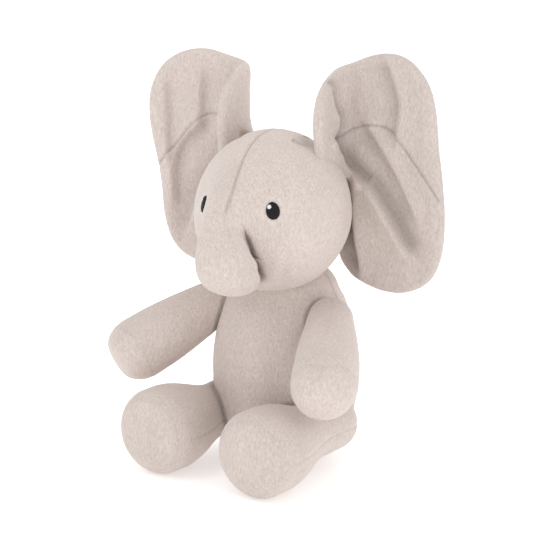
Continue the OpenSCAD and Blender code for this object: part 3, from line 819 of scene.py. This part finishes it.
def ear(side, name):
    place, turn, quads = pillow_grid(EAR_CELLS, EDGE_CELLS)
    outline = spline(EAR_OUTLINE[side], 400)[:-1]
    rel = outline - EAR_CENTRE
    angle = np.arctan2(rel[:, 1], rel[:, 0])
    order = angle.argsort()
    angle, reach = angle[order], np.linalg.norm(rel, axis=1)[order]
    angle = np.concatenate([angle - 2 * math.pi, angle, angle + 2 * math.pi])
    reach = np.tile(reach, 3)
    want = np.arctan2(np.sin(turn), np.cos(turn))
    radius = np.interp(want, angle, reach)
    cap = EAR_CELLS / 2 / (EAR_CELLS + EDGE_CELLS)
    # From the front's middle to its edge, round the edge, and back over the other face
    edge = np.clip((place - cap) / (1 - 2 * cap), 0, 1)
    share = np.where(place < cap, place / cap, np.where(place > 1 - cap, (1 - place) / cap, 1))
    roll = np.where((place >= cap) & (place <= 1 - cap), np.sin(edge * math.pi), 0)
    reach_in = (radius - EAR_HALF) * share + EAR_HALF * roll
    a = EAR_CENTRE[0] + reach_in * np.cos(want)
    z = EAR_CENTRE[1] + reach_in * np.sin(want)
    # The middle is a little thinner than the edge
    inset = (radius - EAR_HALF) * (1 - share)
    plump = EAR_HALF * (1 - 0.22 * smooth(inset, 2, 16))
    front = place < 0.5
    n = np.where(roll > 0, -np.cos(edge * math.pi) * EAR_HALF, np.where(front, -plump, plump))
    q = np.stack([a, z], axis=1)
    shift, painted_shading = np.zeros(len(q)), np.zeros(len(q))
    for points, rise, depth, ridge, hollow, hollow_painted_shade in EAR_FOLDS[side]:
        moved, low = fold(q, points, rise, depth, ridge, hollow)
        shift += moved
        # Painted shade in each fold's hollow
        painted_shading += hollow_painted_shade * low
    shift += 1.4 * noise(np.stack([a, z, 0 * a], axis=1), 34, 5)
    seam = line_distance(q, EAR_SEAM)
    groove = np.where(front, -seam_shape(seam, 1.5, 1.2, 0.6, 5), 0)
    # Painted shade on the front in the fold hollows, along the seam and over the left ear; the back keeps a
    # weaker share of the fold shade
    painted_shading = np.where(front, painted_shading + 0.5 * bell(seam, 0.9) + EAR_PAINTED_SHADE[side], 0.2 * painted_shading)
    n = n + shift * smooth(inset, -1, 9) + groove
    bend = smooth(a, 5, -2)
    p = ear_place(a, n * (1 - bend) + np.maximum(n, -BEND_DEPTH) * bend, z)
    p = relax(p, quads, 6)
    if normals(p, quads)[front, 1].mean() > 0:
        quads = quads[:, ::-1]
    p = p * [side, 1, 1]
    if side < 0:
        quads = quads[:, ::-1]
    p = nap(p, quads, 50 + side, 0.8)
    stands_for = name + "_front_upper", name + "_front_lower", name + "_back", name + "_wadding"
    made = make_object(name + "_skin", turned(p), quads, PLUSH, name, stands_for, painted_shading)


# ---------------------------------------------------------------- arms, legs, tail

def limb_frame(start, direction, up=(0, 0, 1)):
    """A limb's own directions: where it starts, sideways, over and along."""
    d = unit(direction)
    side = unit(np.cross(d, up))
    over = np.cross(side, d)
    return np.array(start, float), side, over, d


def limb_points(profile, place, turn, where):
    """Points of a limb that is round about its own direction, and the same in the limb's directions."""
    start, side, over, d = where
    local = turned_points(profile, place, turn)
    return start + local[:, :1] * side + local[:, 1:2] * over + local[:, 2:] * d, local


# The edge of the leg's sole: its roundness, and how far inside the foot's rim its seam runs
SOLE_ROUND, SOLE_SEAM = 14.0, 5
# The lowest that a leg reaches above the floor, and how softly it is pressed flat there
LEG_LOW, LEG_PRESS = 0.9, 0.6
# The tail: its length, its radius at the root and at the tip, how far its root is bent in to the body
TAIL_LEN, TAIL_R, TAIL_TIP_R, TAIL_BEND = 42.0, 5.6, 4, 6.0
TAIL_LEAN = math.radians(30)


def quarter(count):
    """Angles round a quarter turn."""
    return np.linspace(0, math.pi / 2, count)


def arm(side, name):
    place, turn, quads = pillow_grid(60, 110)
    s_paw = ARM_LEN - PAW_R
    dome = [[ARM_ROOT_R * math.sin(t), -ARM_ROOT_R * math.cos(t)] for t in quarter(10)]
    tube = [[ARM_ROOT_R + (PAW_R - ARM_ROOT_R) * math.sin(math.pi / 2 * s / s_paw), s]
            for s in np.linspace(4, s_paw - 2, 16)]
    tip = [[PAW_R * math.cos(t) ** 0.5, s_paw + PAW_R * math.sin(t)] for t in quarter(24)]
    profile = np.array(dome + tube + tip)
    where = limb_frame(SHOULDER * [side, 1, 1], ARM_DIR * [side, 1, 1])
    p, local = limb_points(profile, place, turn, where)
    quads = outward(p, quads)
    p = relax(p, quads, 6)
    n = normals(p, quads)
    gap = torso_gap(p)
    fold_line = bell(gap - ROOT_FOLD_AT, ARM_FOLD)
    swell = fillet(gap, 8) - 1.4 * fold_line
    # Painted shade in the fold where the arm meets the body
    painted_shading = 0.6 * fold_line
    # Side seams along the sleeve, and the seam round the paw's end
    s = local[:, 2]
    sleeve = smooth(s, s_paw + 8, s_paw)
    swell -= 0.25 * bell(local[:, 0], 1.2) * sleeve
    paw = s - s_paw - 6 - 4 * bell(local[:, 0], 9)
    swell += seam_shape(paw, 0.35, 1.2, 0.4, 5)
    # Painted shade along the paw and sleeve seams
    painted_shading += 0.12 * bell(paw, 1.4) + 0.05 * bell(local[:, 0], 0.9) * sleeve
    p = p + n * swell[:, None]
    p = nap(p, quads, 70 + side, 0.9)
    made = make_object(name + "_skin", p, quads, PLUSH, None,
                       (name + "_outer", name + "_inner", name + "_paw", name + "_stuffing"), painted_shading)
    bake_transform(made)


def leg(side, name):
    place, turn, quads = pillow_grid(76, 130)
    reach = HIP[1] - SOLE_Y
    rim_at = reach - 2 - SOLE_ROUND
    dome = [[LEG_ROOT_R * math.sin(t), LEG_ROOT_AT - LEG_ROOT_R * math.cos(t)] for t in quarter(10)]
    tube = [[leg_radius(s), s] for s in np.linspace(LEG_ROOT_AT + 3, rim_at, 22)]
    toe = [[FOOT_R - SOLE_ROUND * (1 - math.cos(t)), rim_at + SOLE_ROUND * math.sin(t)] for t in quarter(14)]
    profile = np.array(dome + tube + toe + [[10, reach - 0.6], [0, reach]])
    where = limb_frame(HIP * [side, 1, 1], [0, -1, 0])
    p, local = limb_points(profile, place, turn, where)
    quads = outward(p, quads)
    p = relax(p, quads, 6)
    n = normals(p, quads)
    gap = torso_gap(p)
    fold_line = bell(gap - ROOT_FOLD_AT, LEG_FOLD)
    swell = fillet(gap, 8) - 1.5 * fold_line
    # Painted shade in the fold where the leg meets the body
    painted_shading = 0.6 * fold_line
    # Side seams between the upper and lower panel, and the seam round the sole
    s = local[:, 2]
    swell -= 0.6 * bell(local[:, 1], 1.2) * smooth(s, reach - 12, reach - 20)
    sole = np.hypot(local[:, 0], local[:, 1]) - (FOOT_R - SOLE_SEAM)
    ring = np.where(s > reach - 15, sole, FAR)
    swell += seam_shape(ring, 0.3, 1.3, 0.3, 5)
    # Painted shade along the sole's seam
    painted_shading += 0.1 * bell(ring, 1.4)
    p = p + n * swell[:, None]
    p = nap(p, quads, 90 + side)
    # The leg is pressed flat where it rests on the floor
    pressed = LEG_LOW - LEG_PRESS * (1 - np.exp((p[:, 2] - LEG_LOW) / LEG_PRESS))
    p[:, 2] = np.where(p[:, 2] < LEG_LOW, pressed, p[:, 2])
    made = make_object(name + "_skin", p, quads, PLUSH, None,
                       (name + "_upper", name + "_lower", name + "_sole", name + "_stuffing"), painted_shading)
    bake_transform(made)


def tail():
    place, turn, quads = pillow_grid(24, 60)
    dome = [[TAIL_R * math.sin(t), -TAIL_R * math.cos(t)] for t in quarter(8)]
    tip = [[TAIL_TIP_R * math.cos(t), TAIL_LEN - TAIL_TIP_R * (1 - math.sin(t))] for t in quarter(8)]
    along = np.array([0, math.sin(TAIL_LEAN), -math.cos(TAIL_LEAN)])
    p, _ = limb_points(np.array(dome + tip), place, turn, limb_frame(TAIL, along, up=(1, 0, 0)))
    # The root bends in to the seam it is sewn into
    p[:, 1] -= TAIL_BEND * smooth((p - TAIL) @ along, 13, -6)
    quads = outward(p, quads)
    p = nap(p, quads, 99, 0.5)
    made = make_object("tail_cover", p, quads, PLUSH, "tail", ("tail_skin", "tail_stuffing"))


# ---------------------------------------------------------------- eyes

# The stitched oval: half its width and height, how high it crowns, how far it is sunk into the pile
EYE_HALF_W, EYE_HALF_H, EYE_RISE, EYE_SUNK = 4.9, 6.3, 1.5, 0.5
# The glint: its radius, its height and how far it lies above the oval's foot
GLINT_R, GLINT_RISE, GLINT_ABOVE = 1.6, 0.55, 0.55
# The threads lie this many radians off the oval's width
THREAD_LEAN = 0.2


def eye_frame(side):
    """Centre, right, up and outward directions of an eye; its top leans to the middle of the face."""
    n = unit(EYE / HEAD_RADII ** 2) * [side, 1, 1]
    lean = math.radians(EYE_LEAN) * side
    # The face is fuller beside the trunk's root, so the eye is brought out to its surface
    spot = eye_place(side)[None]
    for _ in range(12):
        spot = spot - face_gap(spot)[:, None] * n
    n = unit(uphill(face_gap, spot)[0])
    right = unit(np.cross([0, 0, 1], n))
    up = np.cross(n, right)
    return (turned(spot[0]), turned(right * math.cos(lean) + up * math.sin(lean)),
            turned(up * math.cos(lean) - right * math.sin(lean)), turned(n))


def stitched_dome(name, centre, facing, half_w, half_h, rise, threads, material, replaces):
    """A flat satin-stitched oval with its threads side by side."""
    right, up, n = facing
    count = 56
    u, v = np.meshgrid(np.linspace(-1, 1, count), np.linspace(-1, 1, count), indexing="ij")
    u, v = u.ravel(), v.ravel()
    rho = np.maximum(abs(u), abs(v))
    safe = np.maximum(np.hypot(u, v), 1e-9)
    x, y = u / safe * rho, v / safe * rho
    taper = 1 - 0.06 * y
    height = rise * np.sqrt(np.clip(1 - rho ** 3, 0, 1))
    across = x * math.cos(THREAD_LEAN) + y * math.sin(THREAD_LEAN)
    height = height + 0.09 * np.abs(np.sin(across * threads)) * (rho < 0.97)
    # A skirt goes down into the pile
    height = np.where(rho > 0.985, -1.2, height)
    p = centre + np.outer(x * half_w * taper, right) + np.outer(y * half_h, up) + np.outer(height, n)
    index = np.arange(count * count).reshape(count, count)
    quads = np.stack([index[:-1, :-1], index[1:, :-1], index[1:, 1:], index[:-1, 1:]], axis=-1).reshape(-1, 4)
    if (normals(p, quads) @ n).mean() < 0:
        quads = quads[:, ::-1]
    return make_object(name, p, quads, material, "head", replaces)


def eyes():
    for side, name in ((1, "left"), (-1, "right")):
        centre, right, up, n = eye_frame(side)
        facing = right, up, n
        made = stitched_dome("eye_" + name + "_thread", centre - n * EYE_SUNK, facing, EYE_HALF_W, EYE_HALF_H,
                             EYE_RISE, 26, BLACK, ("eye_" + name,))
        glint_lo, glint_hi = box("eye_glint_" + name)
        spot = (glint_lo + glint_hi) / 2
        spot = spot - n * ((spot - centre) @ n) + n * GLINT_ABOVE
        made = stitched_dome("eye_" + name + "_glint", spot, facing, GLINT_R, GLINT_R, GLINT_RISE, 8,
                             WHITE, ("eye_glint_" + name,))


torso()
head()
trunk()
for make in (ear, arm, leg):
    make(1, make.__name__ + "_left")
    make(-1, make.__name__ + "_right")
tail()
eyes()


# ---------------------------------------------------------------- floor, light, camera

# Everything here is in metres
FLOOR_HALF = 12.0
# The toy's middle, which the lights shine at
MIDDLE = Vector((0, 0, 0.14))
CAMERA_TURN, CAMERA_RISE = math.radians(35.8), math.radians(13.2)
CAMERA_DISTANCE, CAMERA_LENS = 1.4, 121.4
# The point the camera looks at, to the right of the toy's upright axis and above the floor
AIM_RIGHT, AIM_UP = -0.008, 0.1318


def stage_floor():
    """A wide white floor, lit enough by itself to stay white under the studio light."""
    mesh = bpy.data.meshes.new("floor")
    corners = [(-FLOOR_HALF, -FLOOR_HALF, 0), (FLOOR_HALF, -FLOOR_HALF, 0),
               (FLOOR_HALF, FLOOR_HALF, 0), (-FLOOR_HALF, FLOOR_HALF, 0)]
    mesh.from_pydata(corners, [], [(0, 1, 2, 3)])
    obj = bpy.data.objects.new("floor", mesh)
    bpy.context.scene.collection.objects.link(obj)
    mat = bpy.data.materials.new("floor")
    mat.use_nodes = True
    nt = mat.node_tree
    bsdf = nt.nodes["Principled BSDF"]
    bsdf.inputs["Base Color"].default_value = (0.9, 0.9, 0.9, 1)
    bsdf.inputs["Roughness"].default_value = 0.9
    bsdf.inputs["Emission Color"].default_value = (1, 1, 1, 1)
    # Less light of its own close to the toy, so that the feet keep their contact shadow
    coords = add_node(nt, "TexCoord")
    far = add_node(nt, "VectorMath", operation="LENGTH")
    nt.links.new(coords.outputs["Object"], far.inputs[0])
    glow = add_node(nt, "MapRange", {"From Min": 0.12, "From Max": 0.5, "To Min": 0.36, "To Max": 0.64})
    nt.links.new(far.outputs["Value"], glow.inputs["Value"])
    nt.links.new(glow.outputs["Result"], bsdf.inputs["Emission Strength"])
    mesh.materials.append(mat)


def area_light(name, offset, size, power):
    """A soft square light at an offset from the toy's middle, which it shines at."""
    data = bpy.data.lights.new(name, "AREA")
    data.size, data.energy = size, power
    obj = bpy.data.objects.new(name, data)
    obj.location = MIDDLE + offset
    obj.rotation_euler = (-offset).to_track_quat("-Z", "Y").to_euler()
    bpy.context.scene.collection.objects.link(obj)


def look():
    """Places the camera; returns the directions back to it, to its right and upwards."""
    level = math.cos(CAMERA_RISE)
    back = Vector((math.sin(CAMERA_TURN) * level, -math.cos(CAMERA_TURN) * level, math.sin(CAMERA_RISE)))
    right = Vector((math.cos(CAMERA_TURN), math.sin(CAMERA_TURN), 0))
    up = back.cross(right)
    data = bpy.data.cameras.new("camera")
    data.sensor_width = 36
    data.lens = CAMERA_LENS
    cam = bpy.data.objects.new("camera", data)
    cam.location = right * AIM_RIGHT + up * AIM_UP + back * CAMERA_DISTANCE
    cam.rotation_euler = (-back).to_track_quat("-Z", "Y").to_euler()
    bpy.context.scene.collection.objects.link(cam)
    bpy.context.scene.camera = cam
    return back, right, up


stage_floor()
back, right, up = look()
area_light("key", back * 0.8 - right * 0.7 + up * 1.0, 0.8, 2.0)
area_light("fill", back * 1.0 + right * 0.9 + up * 0.3, 1.0, 1.9)
area_light("top", Vector((0, 0, 1.3)), 1.2, 3.2)
area_light("rim", right * 0.4 - back * 1.0 + up * 0.7, 1.2, 4.0)
world = bpy.data.worlds.new("world")
world.use_nodes = True
sky = world.node_tree.nodes["Background"]
sky.inputs["Color"].default_value = (1, 1, 1, 1)
sky.inputs["Strength"].default_value = 0.78
bpy.context.scene.world = world
bpy.context.scene.view_settings.view_transform = "Standard"
